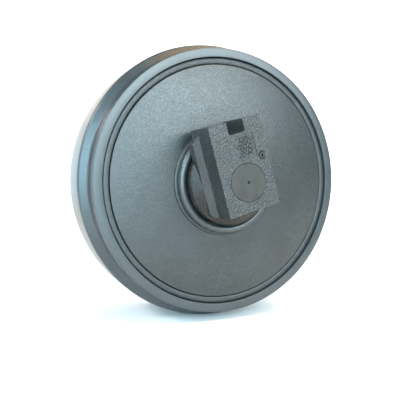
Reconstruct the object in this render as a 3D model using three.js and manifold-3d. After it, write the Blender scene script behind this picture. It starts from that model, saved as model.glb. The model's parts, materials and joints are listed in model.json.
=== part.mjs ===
// Front idler of a tracked excavator: a welded wheel that turns on a fixed shaft, with a cast
// bracket on each end of the shaft. Millimetres, +Z up. The origin is the centre of the wheel
// and +Y is the axis it turns about. The front half (-Y) is described; the rear is its twin.

import * as THREE from 'three';
import * as BufferGeometryUtils from 'three/addons/utils/BufferGeometryUtils.js';
import Module from 'manifold-3d';

const wasm = await Module();
wasm.setup();

// ---- Driving dimensions ----

const RIM_SEGMENTS = 48; // flats round the rim, its discs and their welds
const HUB_SEGMENTS = 36; // flats round the hub, bushings, shaft and bracket collars
const SEAL_SEGMENTS = 24; // flats round the seal rings
const HOLE_SEGMENTS = 20; // flats round pins, plugs and their holes

const SEAT_GAP = 0.3; // between pieces that seat on each other
const DISC_BORE_GAP = 0.7; // between the web discs and the hub, filled by weld
const RUNNING_GAP = 0.45; // radial, between the shaft and its bushings
const CUT_MARGIN = 5; // how far a cutter runs past what it cuts

// Wheel rim
const TREAD_RADIUS = 300;
const GUIDE_FLANGE_HEIGHT = 21; // above the treads
const RIM_WIDTH = 224;
const GUIDE_FLANGE_WIDTH = 104; // across its outer corners
const GUIDE_FLANGE_TAPER = 6; // how much wider each side is at its foot
const GUIDE_FLANGE_CORNER = 7;
const GUIDE_FLANGE_FOOT = 3; // fillet between the flange and the tread
const RIM_WALL = 25;
const RIM_EDGE_CHAMFER = 1.5;
const FACE_RING_WIDTH = 20; // flat ring on each side of the rim, outside the weld groove
const WELD_GROOVE_WIDTH = 16;
const WELD_GROOVE_DEPTH = 13;
const DISC_LEDGE_HEIGHT = 8; // ledge inside the rim that each web disc rests on
const DISC_LEDGE_WIDTH = 11;
const RIM_WELD_RELIEF = 4.5; // how far the weld lies below the rim's face
const RIM_WELD_VALLEY = 2; // depth of the dip between its two runs
const RIM_WELD_EDGE_DROP = 4; // how far its outer side falls away

// Web discs
const DISC_THICKNESS = 16;
const DISC_SETBACK = 4.5; // from the rim's face to the disc's face

// Hub
const HUB_PROJECTION = 19; // from the rim's face to the hub's end
const DISC_SEAT_OVERRUN = 5; // how far the hub's seat for the disc runs past it
const HUB_WAIST_DEPTH = 25; // how far the hub narrows between the discs
const HUB_EDGE_ROUND = 8.5;
const HUB_MOUTH_DEPTH = 27; // from the hub's end to the seal housing's face
const HUB_MOUTH_WALL = 20; // from the seal housing out to the hub's mouth
const HUB_WELD_LEG = 5;
const OIL_CHAMBER_RELIEF = 5; // how far the chamber is cut outside the bushings
const OIL_CHAMBER_LENGTH = 44;

// Shaft and bushings
const SHAFT_RADIUS = 40.4;
const SHAFT_RECESS = 1.5; // from the bracket's outer face to the shaft's end
const SHAFT_CHAMFER = 1;
const CENTRE_HOLE_RADIUS = 3.5;
const CENTRE_HOLE_DEPTH = 6;
const BUSHING_WALL = 7.2;
const BUSHING_COLLAR_HEIGHT = 9;
const BUSHING_COLLAR_THICKNESS = 6.2;
const BUSHING_COLLAR_PROUD = 2; // of the hub's seal housing floor

// Floating seals, two steel rings face to face, each on a rubber ring
const SEAL_HOUSING_DEPTH = 16;
const SEAL_FACE_GAP = 3; // between the hub's and the bracket's seal housings
const SEAL_BORE_CLEARANCE = 4; // between the bracket's boss and the seal rings
const SEAL_RING_WALL = 16;
const SEAL_RING_CLEARANCE = 4; // between the seal rings and their housings
const SEAL_RING_LENGTH = 13;
const SEAL_LIP = 4; // length of the lip that carries the sealing face
const SEAL_LIP_CHAMFER = 1;
const SEAL_LIP_HEIGHT = 6.4; // how far the lip stands out of the ring's back
const SEAL_HOUSING_DRAFT = 1.5; // how much each housing narrows towards its floor

// Brackets, in their own upright frame
const BRACKET_LEAN = THREE.MathUtils.degToRad(-15.6);
const BRACKET_WIDTH = 122;
const BRACKET_ABOVE_AXIS = 131;
const BRACKET_BELOW_AXIS = 62;
const BRACKET_DEPTH = 87.5; // of the block, along the shaft
const BRACKET_STAND_OFF = 8; // from the hub's end to the back of the block
const GUIDE_FACE_DEPTH = 52.5; // flat guide face beside the outer face
const RIB_HEIGHT = 14; // guide rib that stands out of each side
const RIB_TOP_SETBACK = 10;
const RIB_TOP_CHAMFER = 18;
const RIB_TOE_LIFT = 12.3; // how far above the block's foot the rib's toe starts to round
const NOTCH_WIDTH = 38;
const NOTCH_DEPTH = 27;
const NOTCH_CORNER = 3;
const COLLAR_CLEARANCE = 2; // between the bracket's round flange and the hub's mouth
const COLLAR_STAND_OFF = 10; // from the hub's end to the edge of the round flange
const CONE_INSET = 3; // how far the cone's narrow end lies inside the block's sides
const SEAL_BOSS_WALL = 15.3; // round the shaft, inside the seal rings

// Small parts
const LOCK_PIN_RADIUS = 8;
const LOCK_PIN_LENGTH = 89;
const LOCK_PIN_RECESS = 2;
const LOCK_PIN_SETBACK = 26.5; // from the bracket's outer face
const O_RING_SECTION = 1.6;
const O_RING_INSET = 10; // from the bracket's back to the ring
const PLUG_RADIUS = 6.2;
const PLUG_LENGTH = 14;
const PLUG_SIDE_WALL = 14.5; // from the guide face to the plug's centre
const PLUG_BOSS_WALL = 3.3; // between the plug's hole and the seal boss
const PLUG_SINK_RADIUS = 8.6;
const PLUG_RECESS = 2.8;
const PLUG_SOCKET_RADIUS = 3.4;
const PLUG_SOCKET_DEPTH = 5;

// ---- Derived places, as distances from the wheel's centre ----

const rimFace = RIM_WIDTH / 2;
const discFace = rimFace - DISC_SETBACK;
const discBack = discFace - DISC_THICKNESS;
const guideFlangeRadius = TREAD_RADIUS + GUIDE_FLANGE_HEIGHT;
const faceRingBore = TREAD_RADIUS - FACE_RING_WIDTH;
const grooveFloor = rimFace - WELD_GROOVE_DEPTH;
const discRadius = faceRingBore - WELD_GROOVE_WIDTH;
const hubEnd = rimFace + HUB_PROJECTION;
const hubSealFace = hubEnd - HUB_MOUTH_DEPTH;
const bracketSealFace = hubSealFace + SEAL_FACE_GAP;
const sealPlane = (hubSealFace + bracketSealFace) / 2;
const hubSealFloor = hubSealFace - SEAL_HOUSING_DEPTH;
const bracketSealFloor = bracketSealFace + SEAL_HOUSING_DEPTH;
const bushingBore = SHAFT_RADIUS + RUNNING_GAP;
const bushingRadius = bushingBore + BUSHING_WALL;
const bushingCollarRadius = bushingRadius + BUSHING_COLLAR_HEIGHT;
const bushingSeat = hubSealFloor - BUSHING_COLLAR_THICKNESS + BUSHING_COLLAR_PROUD;
const bushingEnd = bushingSeat + BUSHING_COLLAR_THICKNESS;
const bracketBore = SHAFT_RADIUS + SEAT_GAP;
const sealBossRadius = bracketBore + SEAL_BOSS_WALL;
const sealRingBore = sealBossRadius + SEAL_BORE_CLEARANCE;
const sealRingRadius = sealRingBore + SEAL_RING_WALL;
const sealShoulderRadius = sealRingRadius - SEAL_LIP_HEIGHT;
const sealHousingRadius = sealRingRadius + SEAL_RING_CLEARANCE;
const hubMouthRadius = sealHousingRadius + HUB_MOUTH_WALL;
const hubRadius = hubMouthRadius + 2 * HUB_EDGE_ROUND;
const collarRadius = hubMouthRadius - COLLAR_CLEARANCE;
const collarEdge = hubEnd + COLLAR_STAND_OFF;
const bracketBack = hubEnd + BRACKET_STAND_OFF;
const bracketFace = bracketBack + BRACKET_DEPTH;
const guideFaceEnd = bracketFace - GUIDE_FACE_DEPTH;
const shaftEnd = bracketFace - SHAFT_RECESS;
const bracketSide = BRACKET_WIDTH / 2;
const ribSide = bracketSide + RIB_HEIGHT;
const oRingPlace = bracketBack - O_RING_INSET;
const oRingRadius = SHAFT_RADIUS - O_RING_SECTION;
const lockPinEnd = bracketSide - LOCK_PIN_RECESS;
const plugDrillRadius = PLUG_RADIUS + SEAT_GAP;
const plugX = bracketSide - PLUG_SIDE_WALL;
const plugZ = Math.sqrt((sealBossRadius + PLUG_BOSS_WALL + plugDrillRadius) ** 2 - plugX ** 2);

// ---- Helpers ----

function material(color, roughness, metalness) {
  return new THREE.MeshStandardMaterial({ color, roughness, metalness });
}

// A body turned about Y from a closed outline of [radius, height] corners.
function turned(outline, segments) {
  const points = outline.map(([radius, height]) => new THREE.Vector2(radius, height));
  if (THREE.ShapeUtils.area(points) < 0) points.reverse();
  const open = points.every((point) => point.x > 0);
  if (open) points.push(points[0].clone());
  return new THREE.LatheGeometry(points, segments);
}

// The same outline on the other half of the wheel, in reverse order.
function mirrored(outline) {
  return outline.map(([radius, height]) => [radius, -height]).reverse();
}

function arcPoints(centreRadius, centreHeight, radius, from, to, steps) {
  const corners = [];
  for (let step = 0; step <= steps; step += 1) {
    const angle = THREE.MathUtils.degToRad(from + ((to - from) * step) / steps);
    corners.push([centreRadius + radius * Math.cos(angle), centreHeight + radius * Math.sin(angle)]);
  }
  return corners;
}

// A shape drawn in X and Z, filled between two distances in front of the wheel's centre.
function slab(shape, nearer, farther) {
  const geometry = new THREE.ExtrudeGeometry(shape, {
    depth: farther - nearer,
    bevelEnabled: false,
    curveSegments: 6,
  });
  return geometry.translate(0, 0, nearer).rotateX(Math.PI / 2);
}

function toSolid(geometry) {
  const bare = geometry.clone();
  bare.deleteAttribute('normal');
  bare.deleteAttribute('uv');
  const merged = BufferGeometryUtils.mergeVertices(bare, 1e-4);
  const corners = merged.index.array;
  const kept = [];
  for (let i = 0; i < corners.length; i += 3) {
    const [a, b, c] = [corners[i], corners[i + 1], corners[i + 2]];
    if (a !== b && b !== c && c !== a) kept.push(a, b, c);
  }
  return new wasm.Manifold(
    new wasm.Mesh({
      numProp: 3,
      vertProperties: new Float32Array(merged.attributes.position.array),
      triVerts: new Uint32Array(kept),
    }),
  );
}

function toGeometry(solid) {
  const mesh = solid.getMesh();
  const geometry = new THREE.BufferGeometry();
  geometry.setAttribute('position', new THREE.BufferAttribute(mesh.vertProperties, 3));
  geometry.setIndex(new THREE.BufferAttribute(mesh.triVerts, 1));
  geometry.computeVertexNormals();
  return geometry;
}

// ---- Wheel ----

function rimGeometry() {
  const wallTop = GUIDE_FLANGE_WIDTH / 2;
  const wallFoot = wallTop + GUIDE_FLANGE_TAPER;
  const ledgeBore = discRadius - DISC_LEDGE_HEIGHT;
  const ledgeFace = discBack - SEAT_GAP;
  const rimBore = TREAD_RADIUS - RIM_WALL;
  const frontHalf = [
    [rimBore, -(ledgeFace - DISC_LEDGE_WIDTH - DISC_LEDGE_HEIGHT)],
    [ledgeBore, -(ledgeFace - DISC_LEDGE_WIDTH)],
    [ledgeBore, -ledgeFace],
    [discRadius + SEAT_GAP, -ledgeFace],
    [discRadius + SEAT_GAP, -grooveFloor],
    [faceRingBore, -grooveFloor],
    [faceRingBore, -rimFace],
    [TREAD_RADIUS - RIM_EDGE_CHAMFER, -rimFace],
    [TREAD_RADIUS, -(rimFace - RIM_EDGE_CHAMFER)],
    [TREAD_RADIUS, -(wallFoot + GUIDE_FLANGE_FOOT)],
    [TREAD_RADIUS + GUIDE_FLANGE_FOOT, -wallFoot],
    ...arcPoints(
      guideFlangeRadius - GUIDE_FLANGE_CORNER,
      -(wallTop - GUIDE_FLANGE_CORNER),
      GUIDE_FLANGE_CORNER,
      -72,
      0,
      2,
    ),
  ];
  return turned([...frontHalf, ...mirrored(frontHalf)], RIM_SEGMENTS);
}

function discGeometry() {
  const bore = hubRadius + DISC_BORE_GAP;
  const outline = [
    [bore, -discFace],
    [discRadius, -discFace],
    [discRadius, -discBack],
    [bore, -discBack],
  ];
  return turned(outline, RIM_SEGMENTS);
}

// Two runs of weld side by side in the groove between the disc and the rim.
function rimWeldGeometry() {
  const inside = discRadius + SEAT_GAP;
  const outside = faceRingBore - SEAT_GAP;
  const width = outside - inside;
  const crest = rimFace - RIM_WELD_RELIEF;
  const floor = grooveFloor + SEAT_GAP;
  const outline = [
    [inside, -floor],
    [outside, -floor],
    [outside - width * 0.05, -(crest - RIM_WELD_EDGE_DROP)],
    [outside - width * 0.3, -(crest - RIM_WELD_VALLEY / 2)],
    [inside + width * 0.45, -(crest - RIM_WELD_VALLEY)],
    [inside + width * 0.2, -crest],
    [inside, -(crest - RIM_WELD_VALLEY / 2)],
  ];
  return turned(outline, RIM_SEGMENTS);
}

function hubGeometry() {
  const roundCentre = hubRadius - HUB_EDGE_ROUND;
  const waistEnd = discBack - DISC_SEAT_OVERRUN;
  const frontHalf = [
    [bushingRadius + OIL_CHAMBER_RELIEF, -(OIL_CHAMBER_LENGTH / 2 - OIL_CHAMBER_RELIEF)],
    [bushingRadius + SEAT_GAP, -OIL_CHAMBER_LENGTH / 2],
    [bushingRadius + SEAT_GAP, -(bushingSeat - SEAT_GAP)],
    [bushingCollarRadius + SEAT_GAP, -(bushingSeat - SEAT_GAP)],
    [bushingCollarRadius + SEAT_GAP, -hubSealFloor],
    [sealHousingRadius - SEAL_HOUSING_DRAFT, -hubSealFloor],
    [sealHousingRadius, -hubSealFace],
    [hubMouthRadius, -hubSealFace],
    [hubMouthRadius, -(hubEnd - HUB_EDGE_ROUND / 2)],
    ...arcPoints(roundCentre, -(hubEnd - HUB_EDGE_ROUND), HUB_EDGE_ROUND, -120, 0, 4),
    [hubRadius, -waistEnd],
    [hubRadius - HUB_WAIST_DEPTH, -(waistEnd - HUB_WAIST_DEPTH / 2)],
  ];
  return turned([...frontHalf, ...mirrored(frontHalf)], HUB_SEGMENTS);
}

// Fillet weld in the corner between the disc and the hub.
function hubWeldGeometry() {
  const root = hubRadius + SEAT_GAP;
  const foot = discFace + SEAT_GAP;
  const outline = [
    [root, -foot],
    [root + HUB_WELD_LEG, -foot],
    [root + HUB_WELD_LEG * 0.75, -(foot + HUB_WELD_LEG * 0.5)],
    [root + HUB_WELD_LEG * 0.4, -(foot + HUB_WELD_LEG * 0.85)],
    [root, -(foot + HUB_WELD_LEG)],
  ];
  return turned(outline, HUB_SEGMENTS);
}

function bushingGeometry() {
  const outline = [
    [bushingBore, -OIL_CHAMBER_LENGTH / 2],
    [bushingRadius, -OIL_CHAMBER_LENGTH / 2],
    [bushingRadius, -bushingSeat],
    [bushingCollarRadius, -bushingSeat],
    [bushingCollarRadius, -bushingEnd],
    [bushingBore, -bushingEnd],
  ];
  return turned(outline, HUB_SEGMENTS);
}

// ---- Floating seals: side is -1 for the hub's ring and +1 for the bracket's ----

function sealRingGeometry(side) {
  const at = (distance) => -(sealPlane + side * distance);
  const face = SEAT_GAP / 2;
  const outline = [
    [sealRingBore, at(face)],
    [sealRingRadius, at(face)],
    [sealRingRadius, at(SEAL_LIP)],
    [sealShoulderRadius, at(SEAL_LIP + SEAL_LIP_CHAMFER)],
    [sealShoulderRadius, at(SEAL_RING_LENGTH)],
    [sealRingBore, at(SEAL_RING_LENGTH)],
  ];
  return turned(outline, SEAL_SEGMENTS);
}

function toricGeometry(side) {
  const inside = sealShoulderRadius + SEAT_GAP;
  const outside = sealHousingRadius - SEAL_HOUSING_DRAFT - 2 * SEAT_GAP;
  const section = (outside - inside) / 2;
  const height = sealPlane + side * (SEAL_LIP + SEAL_LIP_CHAMFER + SEAT_GAP + section);
  const outline = arcPoints((inside + outside) / 2, -height, section, 0, 288, 4);
  return turned(outline, SEAL_SEGMENTS);
}

// ---- Shaft ----

function shaftGeometry() {
  const grooveFrom = oRingPlace + O_RING_SECTION + SEAT_GAP;
  const grooveTo = oRingPlace - O_RING_SECTION - SEAT_GAP;
  const grooveRadius = SHAFT_RADIUS - 2 * O_RING_SECTION - SEAT_GAP;
  const frontHalf = [
    [0, -(shaftEnd - CENTRE_HOLE_DEPTH)],
    [CENTRE_HOLE_RADIUS, -shaftEnd],
    [SHAFT_RADIUS - SHAFT_CHAMFER, -shaftEnd],
    [SHAFT_RADIUS, -(shaftEnd - SHAFT_CHAMFER)],
    [SHAFT_RADIUS, -grooveFrom],
    [grooveRadius, -grooveFrom],
    [grooveRadius, -grooveTo],
    [SHAFT_RADIUS, -grooveTo],
  ];
  let shaft = toSolid(turned([...frontHalf, ...mirrored(frontHalf)], HUB_SEGMENTS));
  for (const turn of [0, Math.PI]) {
    const groove = toSolid(lockPinHole().rotateZ(turn).rotateY(BRACKET_LEAN));
    shaft = shaft.subtract(groove);
  }
  return toGeometry(shaft);
}

function oRingGeometry() {
  const outline = arcPoints(oRingRadius, -oRingPlace, O_RING_SECTION, 0, 288, 4);
  return turned(outline, SEAL_SEGMENTS);
}

// ---- Brackets and their small parts, in the bracket's upright frame ----

// The pin lies across the bracket, half in the shaft, and is driven in from the +X side.
// Its bar or hole runs from the inner to the outer distance along X.
function lockPinBar(radius, inner, outer) {
  const bar = new THREE.CylinderGeometry(radius, radius, outer - inner, HOLE_SEGMENTS);
  const place = -(bracketFace - LOCK_PIN_SETBACK);
  return bar.rotateZ(Math.PI / 2).translate((inner + outer) / 2, place, -SHAFT_RADIUS);
}

function lockPinGeometry() {
  return lockPinBar(LOCK_PIN_RADIUS, lockPinEnd - LOCK_PIN_LENGTH, lockPinEnd);
}

function lockPinHole() {
  const inner = lockPinEnd - LOCK_PIN_LENGTH - SEAT_GAP;
  return lockPinBar(LOCK_PIN_RADIUS + SEAT_GAP, inner, bracketSide + CUT_MARGIN);
}

function blockShape() {
  const side = bracketSide;
  const notchSide = NOTCH_WIDTH / 2;
  const top = BRACKET_ABOVE_AXIS;
  const notchFloor = top - NOTCH_DEPTH;
  const shape = new THREE.Shape();
  shape.moveTo(-side, -BRACKET_BELOW_AXIS);
  shape.lineTo(side, -BRACKET_BELOW_AXIS);
  shape.lineTo(side, top);
  shape.lineTo(notchSide, top);
  shape.lineTo(notchSide, notchFloor + NOTCH_CORNER);
  const cornerX = notchSide - NOTCH_CORNER;
  const cornerZ = notchFloor + NOTCH_CORNER;
  shape.absarc(cornerX, cornerZ, NOTCH_CORNER, 0, -Math.PI / 2, true);
  shape.absarc(-cornerX, cornerZ, NOTCH_CORNER, -Math.PI / 2, -Math.PI, true);
  shape.lineTo(-notchSide, top);
  shape.lineTo(-side, top);
  shape.closePath();
  return shape;
}

// Outline of the ribs seen from the front: chamfered at the top, rounded at the toe.
function ribShape() {
  const top = BRACKET_ABOVE_AXIS - RIB_TOP_SETBACK;
  const toeRadius = Math.hypot(ribSide, BRACKET_BELOW_AXIS - RIB_TOE_LIFT);
  const toe = Math.acos(ribSide / toeRadius);
  const heel = Math.asin(BRACKET_BELOW_AXIS / toeRadius);
  const shape = new THREE.Shape();
  shape.moveTo(ribSide, top - RIB_TOP_CHAMFER);
  shape.lineTo(bracketSide, top);
  shape.lineTo(-bracketSide, top);
  shape.lineTo(-ribSide, top - RIB_TOP_CHAMFER);
  shape.absarc(0, 0, toeRadius, Math.PI + toe, Math.PI + heel, false);
  shape.absarc(0, 0, toeRadius, -heel, -toe, false);
  shape.closePath();
  return shape;
}

// The ribs seen from above: each stands out of the block behind a sloping flank.
function ribSolid() {
  const plan = new THREE.Shape([
    new THREE.Vector2(-bracketSide, -guideFaceEnd),
    new THREE.Vector2(bracketSide, -guideFaceEnd),
    new THREE.Vector2(ribSide, -(guideFaceEnd - RIB_HEIGHT)),
    new THREE.Vector2(ribSide, -bracketBack),
    new THREE.Vector2(-ribSide, -bracketBack),
    new THREE.Vector2(-ribSide, -(guideFaceEnd - RIB_HEIGHT)),
  ]);
  const height = BRACKET_ABOVE_AXIS + BRACKET_BELOW_AXIS;
  const column = new THREE.ExtrudeGeometry(plan, { depth: height, bevelEnabled: false });
  column.translate(0, 0, -BRACKET_BELOW_AXIS);
  const outline = slab(ribShape(), bracketBack - CUT_MARGIN, guideFaceEnd + CUT_MARGIN);
  return toSolid(column).intersect(toSolid(outline));
}

function notchSolid() {
  const width = NOTCH_WIDTH;
  const cutter = new THREE.BoxGeometry(width, bracketFace, NOTCH_DEPTH);
  return toSolid(cutter.translate(0, -bracketFace, BRACKET_ABOVE_AXIS - NOTCH_DEPTH / 2));
}

// Cone and collar that close the hub's mouth, with the seal housing and thrust boss behind them.
function collarSolid() {
  const coneRadius = Math.min(bracketSide, BRACKET_BELOW_AXIS) - CONE_INSET;
  const outline = [
    [bracketBore, -guideFaceEnd],
    [coneRadius, -guideFaceEnd],
    [collarRadius, -collarEdge],
    [collarRadius, -bracketSealFace],
    [sealHousingRadius, -bracketSealFace],
    [sealHousingRadius - SEAL_HOUSING_DRAFT, -bracketSealFloor],
    [sealBossRadius, -bracketSealFloor],
    [sealBossRadius, -(bushingEnd + RUNNING_GAP)],
    [bracketBore, -(bushingEnd + RUNNING_GAP)],
  ];
  return toSolid(turned(outline, HUB_SEGMENTS));
}

function boreSolid() {
  const length = BRACKET_DEPTH + 2 * CUT_MARGIN;
  const bore = new THREE.CylinderGeometry(bracketBore, bracketBore, length, HUB_SEGMENTS);
  return toSolid(bore.translate(0, -(bracketFace + bracketBack) / 2, 0));
}

function plugHoleSolid() {
  const outline = [
    [0, -(bracketSealFloor - CUT_MARGIN)],
    [plugDrillRadius, -(bracketSealFloor - CUT_MARGIN)],
    [plugDrillRadius, -(bracketFace - (PLUG_SINK_RADIUS - plugDrillRadius))],
    [PLUG_SINK_RADIUS, -bracketFace],
    [PLUG_SINK_RADIUS, -(bracketFace + CUT_MARGIN)],
    [0, -(bracketFace + CUT_MARGIN)],
  ];
  const hole = turned(outline, HOLE_SEGMENTS);
  return toSolid(hole.translate(plugX, 0, plugZ));
}

function bracketGeometry() {
  const block = toSolid(slab(blockShape(), bracketBack, bracketFace));
  const body = block.add(ribSolid()).subtract(boreSolid()).subtract(notchSolid());
  const bracket = body.add(collarSolid());
  return toGeometry(bracket.subtract(plugHoleSolid()).subtract(toSolid(lockPinHole())));
}

function plugGeometry() {
  const face = bracketFace - PLUG_RECESS;
  const body = new THREE.CylinderGeometry(PLUG_RADIUS, PLUG_RADIUS, PLUG_LENGTH, HOLE_SEGMENTS);
  const deep = 2 * PLUG_SOCKET_DEPTH;
  const socket = new THREE.CylinderGeometry(PLUG_SOCKET_RADIUS, PLUG_SOCKET_RADIUS, deep, 6);
  body.translate(0, PLUG_LENGTH / 2 - face, 0);
  const plug = toSolid(body).subtract(toSolid(socket.translate(0, -face, 0)));
  return toGeometry(plug).translate(plugX, 0, plugZ);
}

// ---- Assembly ----

const paintedSteel = material(0x5f6c72, 0.5, 0.3);
const paintedWeld = material(0x4d585d, 0.6, 0.3);
const paintedCasting = material(0x6f7677, 0.7, 0.2);
const groundSteel = material(0x6a6e6f, 0.4, 0.8);
const brightSteel = material(0xb9bcbb, 0.3, 0.9);
const bronze = material(0xa8824c, 0.45, 0.9);
const blackRubber = material(0x17181a, 0.8, 0);

const idler = new THREE.Group();

function place(parent, name, geometry, finish) {
  const mesh = new THREE.Mesh(geometry, finish);
  mesh.name = name;
  parent.add(mesh);
}

place(idler, 'rim', rimGeometry(), paintedSteel);
place(idler, 'hub_barrel', hubGeometry(), paintedSteel);
place(idler, 'shaft', shaftGeometry(), groundSteel);

for (const [end, turn] of [['front', 0], ['rear', Math.PI]]) {
  const wheelEnd = new THREE.Group();
  wheelEnd.rotation.z = turn;
  idler.add(wheelEnd);
  place(wheelEnd, `web_disc_${end}`, discGeometry(), paintedSteel);
  place(wheelEnd, `rim_weld_${end}`, rimWeldGeometry(), paintedWeld);
  place(wheelEnd, `hub_weld_${end}`, hubWeldGeometry(), paintedWeld);
  place(wheelEnd, `bushing_${end}`, bushingGeometry(), bronze);
  place(wheelEnd, `hub_seal_ring_${end}`, sealRingGeometry(-1), brightSteel);
  place(wheelEnd, `hub_toric_ring_${end}`, toricGeometry(-1), blackRubber);
  place(wheelEnd, `bracket_seal_ring_${end}`, sealRingGeometry(1), brightSteel);
  place(wheelEnd, `bracket_toric_ring_${end}`, toricGeometry(1), blackRubber);
  place(wheelEnd, `shaft_o_ring_${end}`, oRingGeometry(), blackRubber);

  const leaning = new THREE.Group();
  leaning.rotation.y = BRACKET_LEAN;
  idler.add(leaning);
  const bracketEnd = new THREE.Group();
  bracketEnd.rotation.z = turn;
  leaning.add(bracketEnd);
  place(bracketEnd, `bracket_${end}`, bracketGeometry(), paintedCasting);
  place(bracketEnd, `lock_pin_${end}`, lockPinGeometry(), brightSteel);
  place(bracketEnd, `oil_plug_${end}`, plugGeometry(), brightSteel);
}

export default idler;
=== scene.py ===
"""Front idler of a tracked excavator: welded wheel, fixed shaft and two cast brackets."""

import json
import math

import bmesh
import bpy
from mathutils import Matrix, Vector


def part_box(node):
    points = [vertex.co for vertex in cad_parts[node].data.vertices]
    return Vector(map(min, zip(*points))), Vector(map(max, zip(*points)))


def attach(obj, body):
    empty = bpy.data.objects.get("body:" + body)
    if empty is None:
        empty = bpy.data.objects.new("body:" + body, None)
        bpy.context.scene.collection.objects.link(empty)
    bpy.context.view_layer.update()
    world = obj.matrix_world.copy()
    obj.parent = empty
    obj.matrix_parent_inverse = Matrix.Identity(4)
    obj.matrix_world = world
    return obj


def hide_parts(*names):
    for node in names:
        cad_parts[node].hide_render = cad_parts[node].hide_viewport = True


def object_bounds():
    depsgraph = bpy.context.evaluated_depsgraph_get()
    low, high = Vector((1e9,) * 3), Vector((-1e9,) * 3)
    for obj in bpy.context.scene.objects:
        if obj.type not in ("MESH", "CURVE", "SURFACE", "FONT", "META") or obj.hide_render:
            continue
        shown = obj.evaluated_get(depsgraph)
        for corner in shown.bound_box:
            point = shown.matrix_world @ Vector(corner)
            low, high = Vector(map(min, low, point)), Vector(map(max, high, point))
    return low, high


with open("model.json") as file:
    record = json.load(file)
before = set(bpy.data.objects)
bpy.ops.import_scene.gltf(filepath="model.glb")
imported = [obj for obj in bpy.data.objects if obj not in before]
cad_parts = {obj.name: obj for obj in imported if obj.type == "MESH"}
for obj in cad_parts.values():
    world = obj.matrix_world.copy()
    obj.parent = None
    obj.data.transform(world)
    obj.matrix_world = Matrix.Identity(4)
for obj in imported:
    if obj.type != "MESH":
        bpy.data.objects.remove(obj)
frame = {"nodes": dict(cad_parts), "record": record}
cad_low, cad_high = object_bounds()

MM = 0.001
record = frame["record"]
mounts = {mount["name"]: mount for mount in record["mounts"]}

# ---- Sizes and places, taken from the frame ----

rim_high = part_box("rim")[1]
disc_low, disc_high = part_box("web_disc_front")
rim_weld_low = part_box("rim_weld_front")[0]
hub_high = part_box("hub_barrel")[1]
hub_weld_low, hub_weld_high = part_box("hub_weld_front")
shaft_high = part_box("shaft")[1]
plug_low, plug_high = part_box("oil_plug_front")
pin_low, pin_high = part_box("lock_pin_front")

FLANGE_RADIUS = rim_high.x
RIM_FACE = rim_high.y
DISC_FACE = -disc_low.y
DISC_BACK = -disc_high.y
DISC_RADIUS = disc_high.x
HUB_RADIUS = hub_high.x
HUB_END = hub_high.y
SHAFT_RADIUS = shaft_high.z
SHAFT_END = shaft_high.y


def along_axis(mount):
    """How far a mount's face lies from the wheel's centre."""
    return sum(p * a for p, a in zip(mount["pos_m"], mount["axis"]))


END_AXIS = Vector(mounts["front_end_face"]["axis"])
SIDE_AXIS = Vector(mounts["front_guide_right"]["axis"])
LEAN = math.atan2(END_AXIS.x, END_AXIS.z)
GUIDE_HALF = along_axis(mounts["front_guide_right"])
BRACKET_TOP = along_axis(mounts["front_end_face"])
BRACKET_FACE = along_axis(mounts["front_outer_face"])


def upright(point):
    """A point of the frame, in a bracket's own upright directions."""
    return Matrix.Rotation(-LEAN, 3, "Y") @ Vector(point)


PLUG = upright((plug_low + plug_high) / 2)
PIN = upright((pin_low + pin_high) / 2)

# ---- Sizes that the frame's boxes don't give ----

TREAD_RADIUS = 300 * MM
FACE_RING = 20 * MM
FLANGE_TOP_HALF = 52 * MM
FLANGE_FOOT_HALF = 58 * MM
FLANGE_CORNER = 7 * MM
FLANGE_FOOT_ROUND = 5 * MM
RIM_WALL = 25 * MM
RIM_RELIEF = 8 * MM
FACE_EDGE_ROUND = 2 * MM
GROOVE_EDGE_ROUND = 0.8 * MM
DISC_EDGE_ROUND = 1.6 * MM
WELD_GROOVE_DEPTH = 13 * MM
WELD_GAP = 1.7 * MM
RIPPLE_BOW = 4 * MM
BEAD_SAG = 1.6 * MM
HUB_MOUTH_WALL = 17 * MM
HUB_MOUTH_DEPTH = 27 * MM
HUB_EDGE_ROUND = 8.5 * MM
HUB_SEAT_DEPTH = 16 * MM
HUB_BORE_RADIUS = 48.4 * MM
HUB_WAIST_DEPTH = 25 * MM
DISC_SEAT_OVERRUN = 5 * MM
OIL_CHAMBER_RADIUS = 53 * MM
OIL_CHAMBER_HALF = 17 * MM
OIL_CHAMBER_END = 22 * MM
THRUST_COLLAR_RADIUS = 57.8 * MM
THRUST_COLLAR_DEPTH = 4.5 * MM
SHAFT_CHAMFER = 1 * MM
CENTRE_RADIUS = 3.5 * MM
CENTRE_DEPTH = 6 * MM
BRACKET_BELOW = 62 * MM
BRACKET_BACK = 139 * MM
GUIDE_DEPTH = 52.5 * MM
RIB_HEIGHT = 14 * MM
RIB_TOP_DROP = 10 * MM
RIB_TOP_CHAMFER = 18 * MM
RIB_FOOT_ROUND = 12 * MM
NOTCH_WIDTH = 38 * MM
NOTCH_DEPTH = 27 * MM
NOTCH_CORNER = 3 * MM
COLLAR_RADIUS = 98 * MM
COLLAR_EDGE = 141 * MM
CONE_TOP = BRACKET_BELOW - 4 * MM
CONE_START = BRACKET_FACE - GUIDE_DEPTH
SEAT_FACE = 107 * MM
SEAT_FLOOR = 123 * MM
SEAT_RADIUS = 80 * MM
SEAT_TAPER = 1.5 * MM
BOSS_RADIUS = 56 * MM
BOSS_END = 90.5 * MM
OIL_DRILL_RADIUS = 6.5 * MM
OIL_SINK_RADIUS = 10 * MM
PLUG_RADIUS = 6.2 * MM
PLUG_LENGTH = 14 * MM
PLUG_SOCKET_RADIUS = 3.4 * MM
PIN_HOLE_RADIUS = 8.3 * MM
MARK_HEIGHT = 1.5 * MM
MARK_COUNT = 28
PANEL_DEPTH = 1.6 * MM
PANEL_LEFT, PANEL_RIGHT = -8 * MM, 35 * MM
PANEL_FOOT, PANEL_TOP = 48 * MM, 101 * MM

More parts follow.
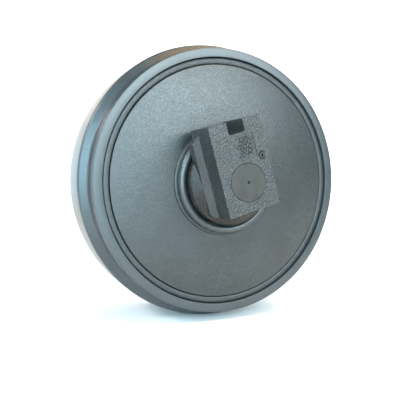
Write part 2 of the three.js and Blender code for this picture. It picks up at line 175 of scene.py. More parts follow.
FIT = 0.3 * MM
PAST = 5 * MM
TURNED_STEPS = 192
SMALL_STEPS = 48
RIM_RIPPLES = 370
HUB_RIPPLES = 160
CAST_VOXEL = 1.3 * MM
CAST_FACE = BRACKET_FACE - MARK_HEIGHT

# ---- Materials ----


def linear(hex_colour):
    """sRGB hex to the linear colour that the shaders use."""
    channels = [int(hex_colour[i : i + 2], 16) / 255 for i in (1, 3, 5)]
    curve = [c / 12.92 if c <= 0.04045 else ((c + 0.055) / 1.055) ** 2.4 for c in channels]
    return (*curve, 1.0)


def node(tree, kind, settings=None, links=None):
    """Adds a node: settings are its properties, socket values or colour stops, links feed its inputs."""
    made = tree.nodes.new(kind)
    for name, value in (settings or {}).items():
        if name == "stops":
            for element, (position, colour) in zip(made.color_ramp.elements, value):
                element.position = position
                element.color = linear(colour)
        elif isinstance(name, int) or name in made.inputs:
            made.inputs[name].default_value = value
        else:
            setattr(made, name, value)
    for name, socket in (links or {}).items():
        tree.links.new(socket, made.inputs[name])
    return made


def new_material(name):
    """An empty material and its node tree."""
    made = bpy.data.materials.new(name)
    made.use_nodes = True
    made.node_tree.nodes.clear()
    return made, made.node_tree


def cone_shade_mask(tree, place):
    """1 on the bracket's cone beside the ribs and below the bracket's foot, and 0 elsewhere: there the
    cone is coloured dark brown, as painted shade for the shadow under the bracket.
    """
    slope = (COLLAR_RADIUS - CONE_TOP) / (COLLAR_EDGE - CONE_START)
    flat = node(
        tree, "ShaderNodeVectorMath", {"operation": "MULTIPLY", 1: (1, 0, 1)}, {0: place}
    )
    radius = node(
        tree, "ShaderNodeVectorMath", {"operation": "LENGTH"}, {0: flat.outputs["Vector"]}
    )
    lengthwise = node(
        tree, "ShaderNodeVectorMath", {"operation": "DOT_PRODUCT", 1: (0, 1, 0)}, {0: place}
    )
    depth = node(
        tree, "ShaderNodeMath", {"operation": "ABSOLUTE"}, {0: lengthwise.outputs["Value"]}
    )
    cone = node(
        tree,
        "ShaderNodeMath",
        {"operation": "MULTIPLY_ADD", 1: slope, 2: CONE_TOP - slope * CONE_START},
        {0: depth.outputs[0]},
    )
    near = node(
        tree,
        "ShaderNodeMath",
        {"operation": "COMPARE", 2: 3 * MM},
        {0: radius.outputs["Value"], 1: cone.outputs[0]},
    )
    sideways = node(
        tree, "ShaderNodeVectorMath", {"operation": "DOT_PRODUCT", 1: SIDE_AXIS}, {0: place}
    )
    beside = node(
        tree, "ShaderNodeMath", {"operation": "ABSOLUTE"}, {0: sideways.outputs["Value"]}
    )
    past_rib = node(
        tree,
        "ShaderNodeMath",
        {"operation": "GREATER_THAN", 1: GUIDE_HALF + RIB_HEIGHT + 0.4 * MM},
        {0: beside.outputs[0]},
    )
    endways = node(
        tree, "ShaderNodeVectorMath", {"operation": "DOT_PRODUCT", 1: END_AXIS}, {0: place}
    )
    under = node(
        tree,
        "ShaderNodeMath",
        {"operation": "LESS_THAN", 1: 0.6 * MM - BRACKET_BELOW},
        {0: endways.outputs["Value"]},
    )
    clear = node(
        tree, "ShaderNodeMath", {"operation": "MAXIMUM"}, {0: past_rib.outputs[0], 1: under.outputs[0]}
    )
    mask = node(
        tree, "ShaderNodeMath", {"operation": "MULTIPLY"}, {0: near.outputs[0], 1: clear.outputs[0]}
    )
    return mask.outputs[0]


def enamel(name, shades, grain, height, roughness, hollow_shade_amount, shine, cone_shade_colour=None):
    """Sprayed enamel: a soft mottle of shades under orange peel of the given grain and height.

    The base colour is painted darker in the peel's hollows, by the given amount, as painted shade
    standing in for the peel's sparkle; the hollows are also duller than the crests, by the two
    roughnesses. A cone colour, when given, is painted shade: the bracket's cone is coloured dark brown
    for the shadow under the bracket.
    """
    made, tree = new_material(name)
    place = node(tree, "ShaderNodeTexCoord").outputs["Object"]
    mottle = node(
        tree,
        "ShaderNodeTexNoise",
        {"Scale": 1 / (60 * MM), "Detail": 4.0, "Roughness": 0.6},
        {"Vector": place},
    )
    peel = node(
        tree,
        "ShaderNodeTexNoise",
        {"Scale": 1 / grain, "Detail": 2.0, "Roughness": 0.55},
        {"Vector": place},
    )
    base = node(
        tree,
        "ShaderNodeValToRGB",
        {"stops": [(0.3, shades[0]), (0.7, shades[1])]},
        {"Fac": mottle.outputs["Fac"]},
    ).outputs["Color"]
    # Painted shade: the bracket's cone beside the ribs and under the bracket takes the dark brown cone
    # colour.
    if cone_shade_colour:
        base = node(
            tree,
            "ShaderNodeMix",
            {"data_type": "RGBA", 7: linear(cone_shade_colour)},
            {0: cone_shade_mask(tree, place), 6: base},
        ).outputs[2]
    # Painted shade: the peel's hollows darken the base colour, standing in for their small shadows and
    # the peel's sparkle.
    painted_hollow_shade = node(
        tree,
        "ShaderNodeValToRGB",
        {"stops": [(0.38, "#3c3c3c"), (0.62, "#ffffff")]},
        {"Fac": peel.outputs["Fac"]},
    )
    toned = node(
        tree,
        "ShaderNodeMix",
        {"data_type": "RGBA", "blend_type": "MULTIPLY", 0: hollow_shade_amount},
        {6: base, 7: painted_hollow_shade.outputs["Color"]},
    )
    gloss = node(
        tree,
        "ShaderNodeMapRange",
        {"From Min": 0.36, "From Max": 0.64, "To Min": roughness[1], "To Max": roughness[0]},
        {"Value": peel.outputs["Fac"]},
    )
    bump = node(
        tree,
        "ShaderNodeBump",
        {"Strength": 1.0, "Distance": height},
        {"Height": peel.outputs["Fac"]},
    )
    shader = node(
        tree,
        "ShaderNodeBsdfPrincipled",
        {"IOR": 1.62, "Specular IOR Level": shine, "Coat Weight": 0.2, "Coat Roughness": 0.3},
        {
            "Base Color": toned.outputs[2],
            "Roughness": gloss.outputs["Result"],
            "Normal": bump.outputs["Normal"],
        },
    )
    node(tree, "ShaderNodeOutputMaterial", links={"Surface": shader.outputs["BSDF"]})
    return made


def turned_steel(name, shades, pitch, roughness, metallic=0.85):
    """Steel turned on a lathe: rings round the Y axis, one tool mark every pitch."""
    made, tree = new_material(name)
    place = node(tree, "ShaderNodeTexCoord").outputs["Object"]
    split = node(tree, "ShaderNodeSeparateXYZ", links={"Vector": place})
    flat = node(
        tree,
        "ShaderNodeCombineXYZ",
        links={"X": split.outputs["X"], "Y": split.outputs["Z"]},
    )
    rings = node(
        tree,
        "ShaderNodeTexWave",
        {
            "wave_type": "RINGS",
            "rings_direction": "Z",
            "Scale": math.pi / (10 * pitch),
            "Distortion": 0.4,
            "Detail": 1.0,
        },
        {"Vector": flat.outputs["Vector"]},
    )
    smear = node(
        tree,
        "ShaderNodeTexNoise",
        {"Scale": 1 / (25 * MM), "Detail": 3.0},
        {"Vector": place},
    )
    base = node(
        tree,
        "ShaderNodeValToRGB",
        {"stops": [(0.35, shades[0]), (0.7, shades[1])]},
        {"Fac": smear.outputs["Fac"]},
    )
    bump = node(
        tree,
        "ShaderNodeBump",
        {"Strength": 0.35, "Distance": 0.02 * MM},
        {"Height": rings.outputs["Fac"]},
    )
    gloss = node(
        tree,
        "ShaderNodeMapRange",
        {"From Min": 0.3, "From Max": 0.7, "To Min": roughness[0], "To Max": roughness[1]},
        {"Value": smear.outputs["Fac"]},
    )
    shader = node(
        tree,
        "ShaderNodeBsdfPrincipled",
        {"Metallic": metallic},
        {
            "Base Color": base.outputs["Color"],
            "Roughness": gloss.outputs["Result"],
            "Normal": bump.outputs["Normal"],
        },
    )
    node(tree, "ShaderNodeOutputMaterial", links={"Surface": shader.outputs["BSDF"]})
    return made


def moulded_rubber(name):
    """Nitrile rubber: nearly black, matt, with a faint moulding grain."""
    made, tree = new_material(name)
    place = node(tree, "ShaderNodeTexCoord").outputs["Object"]
    grain = node(
        tree, "ShaderNodeTexNoise", {"Scale": 1 / (1.5 * MM), "Detail": 3.0}, {"Vector": place}
    )
    base = node(
        tree,
        "ShaderNodeValToRGB",
        {"stops": [(0.3, "#141516"), (0.8, "#222325")]},
        {"Fac": grain.outputs["Fac"]},
    )
    bump = node(
        tree,
        "ShaderNodeBump",
        {"Strength": 0.3, "Distance": 0.05 * MM},
        {"Height": grain.outputs["Fac"]},
    )
    shader = node(
        tree,
        "ShaderNodeBsdfPrincipled",
        {"Roughness": 0.75, "IOR": 1.52},
        {"Base Color": base.outputs["Color"], "Normal": bump.outputs["Normal"]},
    )
    node(tree, "ShaderNodeOutputMaterial", links={"Surface": shader.outputs["BSDF"]})
    return made


# Real orange peel is 1 to 2 mm apart. It is drawn about 3 mm apart, so that it shows.

# Satin enamel sprayed on rolled plate: a grey sheen that the peel breaks into fine sparkle, helped by
# painted shade in the peel's hollows.
plate_enamel = enamel(
    "satin_enamel_on_plate", ("#2b3032", "#343a3c"), 2.8 * MM, 0.55 * MM, (0.2, 0.36), 0.6, 0.42
)
# The same enamel on a turned rim: nearly flat, so each face holds one clean band of light.
machined_enamel = enamel(
    "gloss_enamel_on_turned_rim",
    ("#33393d", "#3d4448"),
    2.8 * MM,
    0.1 * MM,
    (0.26, 0.36),
    0.4,
    0.48,
)
# Thicker and glossier on the turned hub: soft wet highlights that run round its rim.
hub_enamel = enamel(
    "gloss_enamel_on_turned_hub", ("#2e3233", "#383c3e"), 3.6 * MM, 0.4 * MM, (0.2, 0.34), 0.4, 0.5
)
# Enamel over weld ripples: dark hollows, made darker by painted shade, with a small glint on each
# ripple.
weld_enamel = enamel(
    "satin_enamel_on_weld", ("#2c3133", "#363b3d"), 3.0 * MM, 1.2 * MM, (0.26, 0.44), 0.7, 0.4
)
# Enamel over sand-cast skin: coarse soft pebbles, and painted shade that colours the cone dark brown
# beside the ribs and under the bracket.
casting_enamel = enamel(
    "satin_enamel_on_sand_casting",
    ("#303132", "#3b3d3e"),
    2.8 * MM,
    1.1 * MM,
    (0.24, 0.38),
    0.6,
    0.33,
    cone_shade_colour="#140d09",
)
# Real tool marks are 0.2 to 0.4 mm apart. They are drawn 1 to 1.6 mm apart, so that they show.

# A turned shaft end under a film of oil and dust: dull warm grey with faint rings.
shaft_steel = turned_steel(
    "oiled_turned_shaft_steel", ("#2e2d2b", "#3b3937"), 1.6 * MM, (0.36, 0.48), metallic=0.15
)
# Bare ground steel of the seal rings and pins: bright, with sharp streaks of light.
bright_steel = turned_steel("bright_machined_steel", ("#a3a5a4", "#c9cac8"), 1 * MM, (0.22, 0.32))
# A blackened screw plug: dark brown-grey with a dull metal glint.
plug_steel = turned_steel(
    "blackened_plug_steel", ("#3b3733", "#5a544e"), 1 * MM, (0.35, 0.5), metallic=0.6
)
# Bored bronze: warm yellow-brown metal with fine tool rings.
bushing_bronze = turned_steel("bored_bronze", ("#8d6a38", "#b08a50"), 1 * MM, (0.3, 0.4))
# Moulded rubber of the toric and O-rings: almost no light comes back from it.
seal_rubber = moulded_rubber("nitrile_rubber")

# ---- Modelling helpers ----


def deselect():
    bpy.ops.object.select_all(action="DESELECT")


def choose(piece):
    """Makes a piece the only one selected, and the active one."""
    deselect()
    piece.select_set(True)
    bpy.context.view_layer.objects.active = piece


def settle(piece):
    """Puts the piece's place, turn and scale into its mesh."""
    choose(piece)
    bpy.ops.object.transform_apply(location=True, rotation=True, scale=True)


def arc(radius, place, size, start, end, steps):
    """Points of a rounded corner, as (radius, distance along the axis)."""
    turns = [math.radians(start + (end - start) * i / steps) for i in range(steps + 1)]
    return [(radius + size * math.cos(a), place + size * math.sin(a)) for a in turns]


def turned(name, outline, steps, ends="joined"):
    """A circle extruded ring by ring along an outline of (radius, distance along Y).

    Its two ends are joined to each other, capped, or left open.
    """
    radius, place = outline[0]
    deselect()
    bpy.ops.mesh.primitive_circle_add(
        vertices=steps, radius=radius, location=(0, place, 0), rotation=(math.pi / 2, 0, 0)
    )
    piece = bpy.context.object
    piece.name = name
    settle(piece)
    bpy.ops.object.mode_set(mode="EDIT")
    bpy.ops.mesh.select_all(action="SELECT")
    for next_radius, next_place in outline[1:]:
        bpy.ops.mesh.extrude_region_move(
            TRANSFORM_OT_translate={"value": (0, next_place - place, 0)}
        )
        share = next_radius / radius
        bpy.ops.transform.resize(value=(share, 1, share), center_override=(0, next_place, 0))
        radius, place = next_radius, next_place
    bpy.ops.mesh.select_all(action="DESELECT")
    bpy.ops.mesh.select_non_manifold()
    if ends == "joined":
        bpy.ops.mesh.bridge_edge_loops()
    elif ends == "capped":
        bpy.ops.mesh.edge_face_add()
        bpy.ops.mesh.select_all(action="DESELECT")
        bpy.ops.mesh.select_non_manifold()
        if bpy.context.object.data.total_edge_sel:
            bpy.ops.mesh.edge_face_add()
    bpy.ops.mesh.select_all(action="SELECT")
    bpy.ops.mesh.normals_make_consistent(inside=False)
    bpy.ops.object.mode_set(mode="OBJECT")
    return piece


def finish_piece(piece, material, body, slot, *nodes, angle=35):
    """Gives a piece its material, its body, and the frame's nodes that it stands for; the slot is not
    used.
    """
    choose(piece)
    bpy.ops.object.shade_smooth_by_angle(angle=math.radians(angle))
    piece.data.materials.clear()
    piece.data.materials.append(material)
    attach(piece, body)
    if nodes:
        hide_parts(*nodes)
    return piece


def modify(piece, kind, **settings):
    """Adds one modifier and applies it."""
    choose(piece)
    modifier = piece.modifiers.new(kind.lower(), kind)
    for name, value in settings.items():
        setattr(modifier, name, value)
    bpy.ops.object.modifier_apply(modifier=modifier.name)


def combine(piece, other, operation):
    """Joins, cuts or trims a piece with another, which is used up."""
    modify(piece, "BOOLEAN", object=other, operation=operation, solver="MANIFOLD")
    bpy.data.objects.remove(other)


def cube(name, low, high):
    """A box between two corners."""
    low, high = Vector(low), Vector(high)
    deselect()
    bpy.ops.mesh.primitive_cube_add(size=1, location=(low + high) / 2, scale=high - low)
    piece = bpy.context.object
    piece.name = name
    settle(piece)
    return piece


def bevel_edges(piece, wanted, offset, segments=1):
    """Bevels the edges whose two ends pass a test."""
    choose(piece)
    bpy.ops.object.mode_set(mode="EDIT")
    bpy.ops.mesh.select_mode(type="EDGE")
    bpy.ops.mesh.select_all(action="DESELECT")
    mesh = bmesh.from_edit_mesh(piece.data)
    for edge in mesh.edges:
        edge.select_set(wanted(edge.verts[0].co, edge.verts[1].co))
    bmesh.update_edit_mesh(piece.data)
    bpy.ops.mesh.bevel(offset=offset, segments=segments, affect="EDGES")
    bpy.ops.object.mode_set(mode="OBJECT")


def copy_of(piece, name):
    """A second piece with a mesh of its own."""
    twin = piece.copy()
    twin.data = piece.data.copy()
    twin.name = name
    bpy.context.scene.collection.objects.link(twin)
    return twin


def turn_round(piece):
    """Turns a front piece end for end, to the rear."""
    piece.rotation_euler = (0, 0, math.pi)
    settle(piece)


# ---- Wheel ----


def rim():
    """The forged ring: two treads, the guide flange between them and a groove for each disc's weld."""
    back = DISC_BACK - RIM_WALL
    ring = TREAD_RADIUS - FACE_RING
    groove_edge = arc(
        ring + GROOVE_EDGE_ROUND, RIM_FACE - GROOVE_EDGE_ROUND, GROOVE_EDGE_ROUND, 180, 90, 4
    )
    face_edge = arc(
        TREAD_RADIUS - FACE_EDGE_ROUND, RIM_FACE - FACE_EDGE_ROUND, FACE_EDGE_ROUND, 90, 0, 5
    )
    flange_foot = arc(
        TREAD_RADIUS + FLANGE_FOOT_ROUND,
        FLANGE_FOOT_HALF + FLANGE_FOOT_ROUND,
        FLANGE_FOOT_ROUND,
        180,
        255,
        6,
    )
    flange_corner = arc(
        FLANGE_RADIUS - FLANGE_CORNER, FLANGE_TOP_HALF - FLANGE_CORNER, FLANGE_CORNER, 72, 0, 8
    )
    half = [
        (TREAD_RADIUS - RIM_WALL, back),
        (DISC_RADIUS - RIM_RELIEF, back + RIM_RELIEF),
        (DISC_RADIUS - RIM_RELIEF, DISC_BACK - FIT),
        (DISC_RADIUS + FIT, DISC_BACK - FIT),
        (DISC_RADIUS + FIT, RIM_FACE - WELD_GROOVE_DEPTH),
        (ring, RIM_FACE - WELD_GROOVE_DEPTH),
        *groove_edge,
        *face_edge,
        *flange_foot,
        *flange_corner,
    ]
    outline = half + [(radius, -place) for radius, place in reversed(half)]
    piece = turned("rim_forging", outline, TURNED_STEPS)
    return finish_piece(piece, machined_enamel, "wheel", "painted_steel", "rim")


def web_disc(end, side):
    """The plate between rim and hub, its outer edge rounded."""
    bore = HUB_RADIUS + 0.7 * MM
    edge = arc(DISC_RADIUS - DISC_EDGE_ROUND, DISC_FACE - DISC_EDGE_ROUND, DISC_EDGE_ROUND, 0, 90, 4)
    half = [(bore, DISC_BACK), (DISC_RADIUS, DISC_BACK), *edge, (bore, DISC_FACE)]
    outline = [(radius, side * place) for radius, place in half]
    piece = turned(f"web_plate_{end}", outline, TURNED_STEPS)
    return finish_piece(piece, plate_enamel, "wheel", "painted_steel", f"web_disc_{end}")


def ripple(piece, pitch, lift, curl, middle):
    """Raises every third rib of a weld, bowed like the ripples that a weld pool leaves."""
    choose(piece)
    bpy.ops.object.mode_set(mode="EDIT")
    bpy.ops.mesh.select_mode(type="VERT")
    bpy.ops.mesh.select_all(action="DESELECT")
    mesh = bmesh.from_edit_mesh(piece.data)
    for vertex in mesh.verts:
        radius = math.hypot(vertex.co.x, vertex.co.z)
        turn = math.atan2(vertex.co.z, vertex.co.x)
        bow = curl * ((radius - middle) / RIPPLE_BOW) ** 2
        count = round(turn / pitch * 3 + bow)
        vertex.select_set(count % 3 == 0)
    mesh.select_flush_mode()
    bmesh.update_edit_mesh(piece.data)
    bpy.ops.transform.shrink_fatten(value=lift)
    bpy.ops.object.mode_set(mode="OBJECT")


def rim_weld(end, side):
    """The seam between rim and disc: a low rippled bead with a narrow gap on each side."""
    inside, outside = DISC_RADIUS + FIT, TREAD_RADIUS - FACE_RING - FIT
    floor = RIM_FACE - WELD_GROOVE_DEPTH + FIT
    crest = -rim_weld_low.y
    middle = (inside + outside) / 2
    half_width = (outside - inside) / 2 - WELD_GAP
    half = [
        (outside, floor + 1 * MM),
        (outside, floor),
        (inside, floor),
        (inside, floor + 1 * MM),
        (middle - half_width - 1 * MM, floor + 1.5 * MM),
    ]
    for turn in (-85, -65, -45, -22, 0, 22, 45, 65, 85):
        angle = math.radians(turn)
        drop = BEAD_SAG * (1 - math.cos(angle))
        half.append((middle + half_width * math.sin(angle), crest - drop))
    half.append((middle + half_width + 1 * MM, floor + 1.5 * MM))
    outline = [(radius, side * place) for radius, place in half]
    piece = turned(f"rim_seam_{end}", outline, 3 * RIM_RIPPLES)
    ripple(piece, 2 * math.pi / RIM_RIPPLES, 0.35 * MM, 1.5, middle)
    return finish_piece(piece, weld_enamel, "wheel", "painted_weld", f"rim_weld_{end}", angle=60)


def hub():
    """The hub casting: a round-lipped mouth and a seal seat at each end, and an oil chamber inside."""
    mouth = HUB_RADIUS - HUB_MOUTH_WALL
    seal_face = HUB_END - HUB_MOUTH_DEPTH
    seal_floor = seal_face - HUB_SEAT_DEPTH
    waist_start = DISC_BACK - DISC_SEAT_OVERRUN
    half = [
        (OIL_CHAMBER_RADIUS, OIL_CHAMBER_HALF),
        (HUB_BORE_RADIUS, OIL_CHAMBER_END),
        (HUB_BORE_RADIUS, seal_floor - THRUST_COLLAR_DEPTH),
        (THRUST_COLLAR_RADIUS, seal_floor - THRUST_COLLAR_DEPTH),
        (THRUST_COLLAR_RADIUS, seal_floor),
        (SEAT_RADIUS - SEAT_TAPER, seal_floor),
        (SEAT_RADIUS, seal_face),
        (mouth, seal_face),
        *arc(mouth + HUB_EDGE_ROUND, HUB_END - HUB_EDGE_ROUND, HUB_EDGE_ROUND, 180, 0, 12),
        (HUB_RADIUS, waist_start),
        (HUB_RADIUS - HUB_WAIST_DEPTH, waist_start - HUB_WAIST_DEPTH / 2),
    ]
    outline = half + [(radius, -place) for radius, place in reversed(half)]
    piece = turned("hub_casting", outline, 144)
    return finish_piece(piece, hub_enamel, "wheel", "painted_steel", "hub_barrel")


def hub_weld(end, side):
    """The fillet weld between disc and hub: a full, rippled bead in the corner."""
    root, toe = HUB_RADIUS + FIT, hub_weld_high.x
    foot, top = DISC_FACE + FIT, -hub_weld_low.y
    outline = [(root, side * foot)]
    for turn in (0, 15, 30, 45, 60, 75, 89.9):
        angle = math.radians(turn)
        radius = root + (toe - root) * math.cos(angle) ** 0.8
        place = foot + (top - foot) * math.sin(angle) ** 0.8
        outline.append((radius, side * place))
    piece = turned(f"hub_seam_{end}", outline, 3 * HUB_RIPPLES)
    ripple(piece, 2 * math.pi / HUB_RIPPLES, 0.3 * MM, 1.5, (root + toe) / 2)
    return finish_piece(piece, weld_enamel, "wheel", "painted_weld", f"hub_weld_{end}", angle=60)


# ---- Support ----


def shaft():
    """The fixed shaft: chamfered ends, each with a small lathe centre."""
    half = [
        (0.2 * MM, SHAFT_END - CENTRE_DEPTH),
        (CENTRE_RADIUS, SHAFT_END),
        (SHAFT_RADIUS - SHAFT_CHAMFER, SHAFT_END),
        (SHAFT_RADIUS, SHAFT_END - SHAFT_CHAMFER),
        (SHAFT_RADIUS, 1 * MM),
    ]
    outline = half + [(radius, -place) for radius, place in reversed(half)]
    piece = turned("shaft_bar", outline, 96, ends="capped")
    return finish_piece(piece, shaft_steel, "support", "ground_steel", "shaft")


def relief():
    """Raised foundry relief for the sunk panel of the outer face: short round pips lying every way.

    The steps in size, place and turn share no common measure, so the pips look scattered.
    """
    margin = 5 * MM
    left, width = PANEL_LEFT + margin, PANEL_RIGHT - PANEL_LEFT - 2 * margin
    foot, height = PANEL_FOOT + margin, PANEL_TOP - PANEL_FOOT - 2 * margin
    top = 0.1 * MM - BRACKET_FACE
    whole = None
    for i in range(MARK_COUNT):
        half = (0.5 + 2 * (i * 0.414 % 1)) * MM
        size = (2.4 + 0.8 * (i * 0.27 % 1)) * MM
        outline = [*arc(0, -half, size, -80, 0, 4), *arc(0, half, size, 0, 80, 4)]
        pip = turned("mark", outline, 12, ends="capped")
        pip.rotation_euler = (0, 0, math.pi / 2)
        settle(pip)
        pip.rotation_euler = (0, math.radians(137.5 * i), 0)
        across, up = i * 0.618 % 1, (i + 0.5) / MARK_COUNT
        pip.location = (left + width * across, top + size, foot + height * up)
        settle(pip)
        if whole:
            combine(whole, pip, "UNION")
        else:
            whole = pip
    return whole


def bracket_block():
    """The bracket before its skin is made: a block with two ribs, a cone, a collar and a notch."""
    front = -CAST_FACE
    back = -BRACKET_BACK
    guide_end = -CONE_START
    rib_side = GUIDE_HALF + RIB_HEIGHT
    rib_top = BRACKET_TOP - RIB_TOP_DROP
    allowance = 1 * MM
    near = 0.01 * MM
    block = cube(
        "bracket_casting_front",
        (-GUIDE_HALF - allowance, front, -BRACKET_BELOW),
        (GUIDE_HALF + allowance, back, BRACKET_TOP),
    )
    ribs = cube("ribs", (-rib_side, guide_end, -BRACKET_BELOW), (rib_side, back, rib_top))
    bevel_edges(
        ribs,
        lambda a, b: max(abs(a.y - guide_end), abs(b.y - guide_end), abs(a.x - b.x)) < near,
        RIB_HEIGHT,
    )
    bevel_edges(
        ribs,
        lambda a, b: min(a.z, b.z) > rib_top - near
        and abs(a.x) > rib_side - near
        and abs(a.x - b.x) < near,
        RIB_TOP_CHAMFER,
    )
    bevel_edges(
        ribs,
        lambda a, b: max(a.z, b.z) < near - BRACKET_BELOW
        and abs(a.x) > rib_side - near
        and abs(a.x - b.x) < near,
        RIB_FOOT_ROUND,
        4,
    )
    combine(block, ribs, "UNION")
    collar_outline = [
        (20 * MM, guide_end),
        (CONE_TOP, guide_end),
        (COLLAR_RADIUS - 2.5 * MM, -COLLAR_EDGE - 2.5 * MM),
        (COLLAR_RADIUS - 1.5 * MM, -COLLAR_EDGE - 1 * MM),
        (COLLAR_RADIUS, -COLLAR_EDGE + 1 * MM),
        (COLLAR_RADIUS, -SEAT_FACE),
        (SEAT_RADIUS, -SEAT_FACE),
        (SEAT_RADIUS - SEAT_TAPER, -SEAT_FLOOR),
        (BOSS_RADIUS, -SEAT_FLOOR),
        (BOSS_RADIUS, -BOSS_END),
        (20 * MM, -BOSS_END),
    ]
    combine(block, turned("collar", collar_outline, TURNED_STEPS), "UNION")
    notch_floor = BRACKET_TOP - NOTCH_DEPTH
    notch = cube(
        "notch",
        (-NOTCH_WIDTH / 2, front - PAST, notch_floor),
        (NOTCH_WIDTH / 2, back + PAST, BRACKET_TOP + PAST),
    )
    bevel_edges(
        notch,
        lambda a, b: max(a.z, b.z) < notch_floor + near and abs(a.x - b.x) < near,
        NOTCH_CORNER,
        3,
    )
    combine(block, notch, "DIFFERENCE")
    return block


def sand_skin(piece):
    """Softens the edges as a sand mould does, and pebbles the outer face."""
    piece.data.remesh_voxel_size = CAST_VOXEL
    choose(piece)
    bpy.ops.object.voxel_remesh()
    modify(piece, "SMOOTH", factor=0.5, iterations=1)
    pebbles = bpy.data.textures.new("sand_skin", "CLOUDS")
    pebbles.noise_scale = 2.5 * MM
    pebbles.noise_depth = 0
    deep = 2 * MM - CAST_FACE
    face = piece.vertex_groups.new(name="outer_face")
    on_face = [v.index for v in piece.data.vertices if v.co.y < deep and v.normal.y < -0.97]
    face.add(on_face, 1.0, "REPLACE")
    modify(
        piece,
        "DISPLACE",
        texture=pebbles,
        strength=2 * MM,
        mid_level=0.6,
        vertex_group="outer_face",
    )
    piece.vertex_groups.clear()


def bracket_casting():
    """The front bracket: its cast skin first, then the relief, the machined faces and the holes."""
    piece = bracket_block()
    sand_skin(piece)
    front = -CAST_FACE
    guide_end = -CONE_START
    far_side = GUIDE_HALF + RIB_HEIGHT + 20 * MM
    panel = cube(
        "panel", (PANEL_LEFT, front - PAST, PANEL_FOOT), (PANEL_RIGHT, front + PANEL_DEPTH, PANEL_TOP)
    )
    combine(piece, panel, "DIFFERENCE")
    combine(piece, relief(), "UNION")
    kept = cube(
        "kept_guide",
        (-GUIDE_HALF, front - PAST, -BRACKET_BELOW - PAST),
        (GUIDE_HALF, guide_end - 0.5 * MM, BRACKET_TOP + PAST),
    )
    kept_behind = cube(
        "kept_behind",
        (-far_side, guide_end - 0.5 * MM, -120 * MM),
        (far_side, 0, 160 * MM),
    )
    combine(kept, kept_behind, "UNION")
    combine(piece, kept, "INTERSECT")
    bore_outline = [
        (SHAFT_RADIUS + FIT + 1 * MM, front - 3 * MM),
        (SHAFT_RADIUS + FIT + 1 * MM, front),
        (SHAFT_RADIUS + FIT, front + 1 * MM),
        (SHAFT_RADIUS + FIT, -80 * MM),
    ]
    combine(piece, turned("bore", bore_outline, 96, ends="capped"), "DIFFERENCE")
    hole_outline = [
        (OIL_SINK_RADIUS + 3 * MM, front - 3 * MM),
        (OIL_SINK_RADIUS, front),
        (OIL_DRILL_RADIUS, front + OIL_SINK_RADIUS - OIL_DRILL_RADIUS),
        (OIL_DRILL_RADIUS, PAST - SEAT_FLOOR),
    ]
    hole = turned("oil_hole", hole_outline, SMALL_STEPS, ends="capped")
    hole.location = (PLUG.x, 0, PLUG.z)
    settle(hole)
    combine(piece, hole, "DIFFERENCE")
    deselect()
    bpy.ops.mesh.primitive_cylinder_add(
        vertices=SMALL_STEPS,
        radius=PIN_HOLE_RADIUS,
        depth=100 * MM,
        location=(PIN.x + PAST, PIN.y, PIN.z),
        rotation=(0, math.pi / 2, 0),
    )
    pin_hole = bpy.context.object
    settle(pin_hole)
    combine(piece, pin_hole, "DIFFERENCE")
    return piece


def brackets():
    """The front bracket and its copy at the rear, both turned to their lean."""
    front = bracket_casting()
    rear = copy_of(front, "bracket_casting_rear")
    turn_round(rear)
    for piece, end in ((front, "front"), (rear, "rear")):
        piece.rotation_euler = (0, LEAN, 0)
        settle(piece)
        finish_piece(piece, casting_enamel, "support", "painted_casting", f"bracket_{end}", angle=40)


def plug(end, at_rear):
    """The oil filler: a screw plug sunk in the bracket, with a six-sided socket."""
    face = plug_low.y
    outline = [
        (1 * MM, face),
        (PLUG_RADIUS - 1 * MM, face),
        (PLUG_RADIUS, face + 1 * MM),
        (PLUG_RADIUS, face + PLUG_LENGTH),
        (1 * MM, face + PLUG_LENGTH),
    ]
    body = turned(f"filler_plug_{end}", outline, SMALL_STEPS, ends="capped")
    deselect()
    bpy.ops.mesh.primitive_cylinder_add(
        vertices=6,
        radius=PLUG_SOCKET_RADIUS,
        depth=10 * MM,
        location=(0, face, 0),
        rotation=(math.pi / 2, 0, 0),
    )
    socket = bpy.context.object
    settle(socket)
    combine(body, socket, "DIFFERENCE")
    body.location = (PLUG.x, 0, PLUG.z)
    settle(body)
    if at_rear:
        turn_round(body)
    body.rotation_euler = (0, LEAN, 0)
    settle(body)
    return finish_piece(body, plug_steel, "support", "bright_steel", f"oil_plug_{end}")


rim()
hub()
for end, side in (("front", -1), ("rear", 1)):
    web_disc(end, side)
    rim_weld(end, side)
    hub_weld(end, side)
shaft()
brackets()
plug("front", False)
plug("rear", True)

CARRIED = {
    "bushing": bushing_bronze,
    "seal_ring": bright_steel,
    "toric": seal_rubber,
    "o_ring": seal_rubber,
    "lock_pin": bright_steel,
}
for name, carried in frame["nodes"].items():
    for word, finish in CARRIED.items():
        if word in name:
            carried.data.materials.clear()
            carried.data.materials.append(finish)

# ---- Floor, light and camera ----


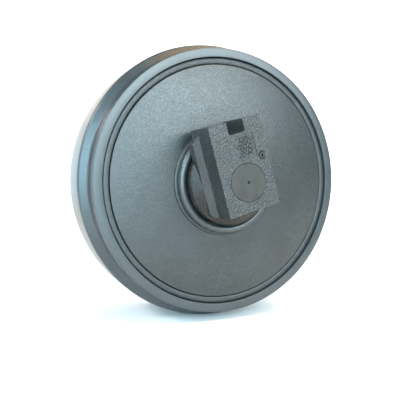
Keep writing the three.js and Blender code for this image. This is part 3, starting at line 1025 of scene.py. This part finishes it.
def floor():
    """A round studio sweep: a flat floor that curves up into a wall all the way round."""
    flat, bend, top = 2.9, 1.4, 2.4
    outline = [(0.01, 0), (flat, 0), *arc(flat, bend, bend, -90, 0, 12), (flat + bend, top)]
    piece = turned("floor", outline, 96, ends="open")
    piece.rotation_euler = (math.pi / 2, 0, 0)
    piece.location = (0, 0, cad_low.z)
    settle(piece)
    bpy.ops.object.shade_smooth_by_angle(angle=math.radians(40))
    made, tree = new_material("pale_studio_floor")
    place = node(tree, "ShaderNodeTexCoord").outputs["Object"]
    split = node(tree, "ShaderNodeSeparateXYZ", links={"Vector": place})
    # Painted shade: the floor is coloured darker in front of the wheel, beyond the camera (grey at Y =
    # -2.6 m, near white from -1.4 m), so the wheel's lower half reflects a dim floor and takes less
    # light from it.
    depth = node(
        tree,
        "ShaderNodeMapRange",
        {"From Min": -2.6, "From Max": -1.4},
        {"Value": split.outputs["Y"]},
    )
    tone = node(
        tree,
        "ShaderNodeValToRGB",
        {"stops": [(0.0, "#a4a6a7"), (1.0, "#f6f6f6")]},
        {"Fac": depth.outputs["Result"]},
    )
    shader = node(
        tree,
        "ShaderNodeBsdfPrincipled",
        {"Roughness": 0.95},
        {"Base Color": tone.outputs["Color"]},
    )
    node(tree, "ShaderNodeOutputMaterial", links={"Surface": shader.outputs["BSDF"]})
    piece.data.materials.append(made)


def softbox(name, place, aim, size, power, colour):
    """A soft panel of light, itself out of the picture."""
    light = bpy.data.lights.new(name, "AREA")
    light.shape = "RECTANGLE"
    light.size, light.size_y = size
    light.energy = power
    light.color = linear(colour)[:3]
    lamp = bpy.data.objects.new(name, light)
    lamp.location = place
    lamp.rotation_euler = (Vector(aim) - Vector(place)).to_track_quat("-Z", "Y").to_euler()
    lamp.visible_camera = False
    bpy.context.scene.collection.objects.link(lamp)


def studio():
    """Even pale surroundings, cool panels in front and beside, and a warm one above."""
    world = bpy.data.worlds.new("studio")
    bpy.context.scene.world = world
    world.use_nodes = True
    tree = world.node_tree
    tree.nodes.clear()
    shade = node(tree, "ShaderNodeBackground", {"Color": linear("#f3f4f5"), "Strength": 0.27})
    node(tree, "ShaderNodeOutputWorld", links={"Surface": shade.outputs["Background"]})
    softbox("front_panel", (1.0, -2.6, 1.0), (1.0, 0, 0.8), (1.65, 1.3), 70, "#dcf0f6")
    softbox("fill_panel", (-0.35, -2.6, 0.5), (-0.35, 0, 0.4), (1.4, 1.7), 52, "#c6e8f4")
    softbox("left_front_panel", (-1.7, -2.3, 0.3), (-0.2, 0, 0), (1.5, 2.0), 112, "#a9dcf0")
    softbox("window", (-2.4, -0.9, 1.8), (0, 0, 0), (0.6, 0.6), 45, "#ffffff")
    softbox("left_panel", (-2.7, 0.1, 0.5), (0, 0, 0), (1.4, 1.6), 18, "#c4e6f3")
    softbox("rear_panel", (-0.8, 2.7, 0.1), (-0.8, 0, 0.1), (2.4, 0.8), 4, "#5cc4ea")
    softbox("rear_upper_panel", (0.2, 2.7, 1.1), (0, 0, 0.3), (2.0, 0.8), 3, "#e0b070")
    softbox("upper_panel", (0.9, -1.5, 2.4), (0, 0, 0), (2.2, 1.4), 55, "#e8b468")
    softbox("floor_light", (2.2, 1.2, 3.3), (2.6, 3.4, 0), (3.2, 1.6), 230, "#ffffff")


def camera():
    """Stands to the left of the front face, level with the shaft."""
    lens = bpy.data.cameras.new("camera")
    lens.sensor_width = 36
    lens.lens = 45
    eye = bpy.data.objects.new("camera", lens)
    eye.location = (-0.504, -1.136, 0.018)
    eye.rotation_euler = (math.radians(86.99), 0, math.radians(-23.37))
    bpy.context.scene.collection.objects.link(eye)
    bpy.context.scene.camera = eye


floor()
studio()
camera()
bpy.context.scene.view_settings.view_transform = "Standard"
